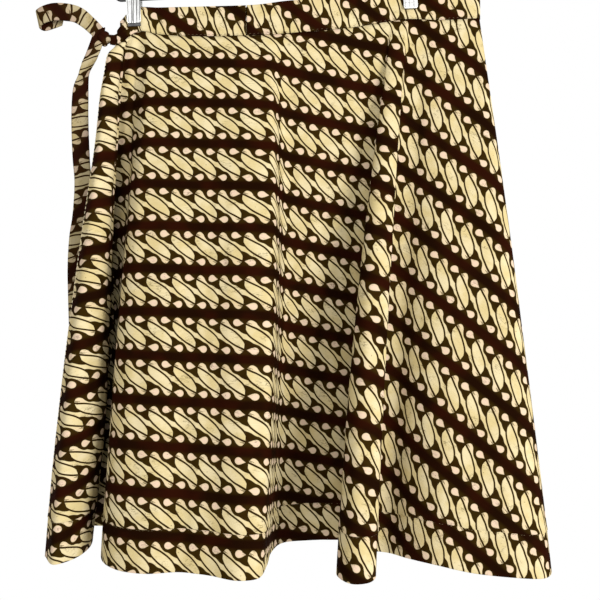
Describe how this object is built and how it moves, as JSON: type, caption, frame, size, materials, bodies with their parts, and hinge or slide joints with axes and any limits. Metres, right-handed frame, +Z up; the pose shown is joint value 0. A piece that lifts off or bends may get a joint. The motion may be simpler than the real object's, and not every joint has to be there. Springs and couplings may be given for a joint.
{
  "type": "wrap skirt on a two-clip trouser hanger",
  "caption": "Knee-length flared wrap skirt in slanting-leaf batik cotton, tied at the left side and hung by its waistband from a wire hanger with spring clips.",
  "frame": {"origin": "inside top of the hanger's hook, where a rod or a nail carries it", "axes": "+Z up, the outer front faces -Y, +X to the viewer's right"},
  "size_m": [0.5674, 0.2377, 0.7417],
  "materials": {
    "batik_cotton": "plain-weave cotton, dark brown with cream leaves in slanting rows",
    "hanger_wire": "black enamel",
    "clip_steel": "bright plated sheet steel with pressed ribs",
    "clip_pad": "dark grey, toothed"
  },
  "bodies": {
    "root": {"outer_front_panel": "batik_cotton", "outer_front_hem_turn": "batik_cotton", "back_panel": "batik_cotton", "back_hem_turn": "batik_cotton", "under_front_panel": "batik_cotton", "under_front_hem_turn": "batik_cotton", "waistband_front_left": "batik_cotton", "waistband_front_right": "batik_cotton", "waistband_back": "batik_cotton", "waistband_under": "batik_cotton", "tie_neck": "batik_cotton", "tie_knot": "batik_cotton", "tie_short_tail": "batik_cotton", "tie_long_tail": "batik_cotton", "hanger_hook": "hanger_wire", "hanger_bar": "hanger_wire", "clip_left_front_jaw": "clip_steel", "clip_left_back_jaw": "clip_steel", "clip_left_front_pad": "clip_pad", "clip_left_back_pad": "clip_pad", "clip_left_spring": "clip_steel", "clip_right_front_jaw": "clip_steel", "clip_right_back_jaw": "clip_steel", "clip_right_front_pad": "clip_pad", "clip_right_back_pad": "clip_pad", "clip_right_spring": "clip_steel"}
  },
  "joints": []
}
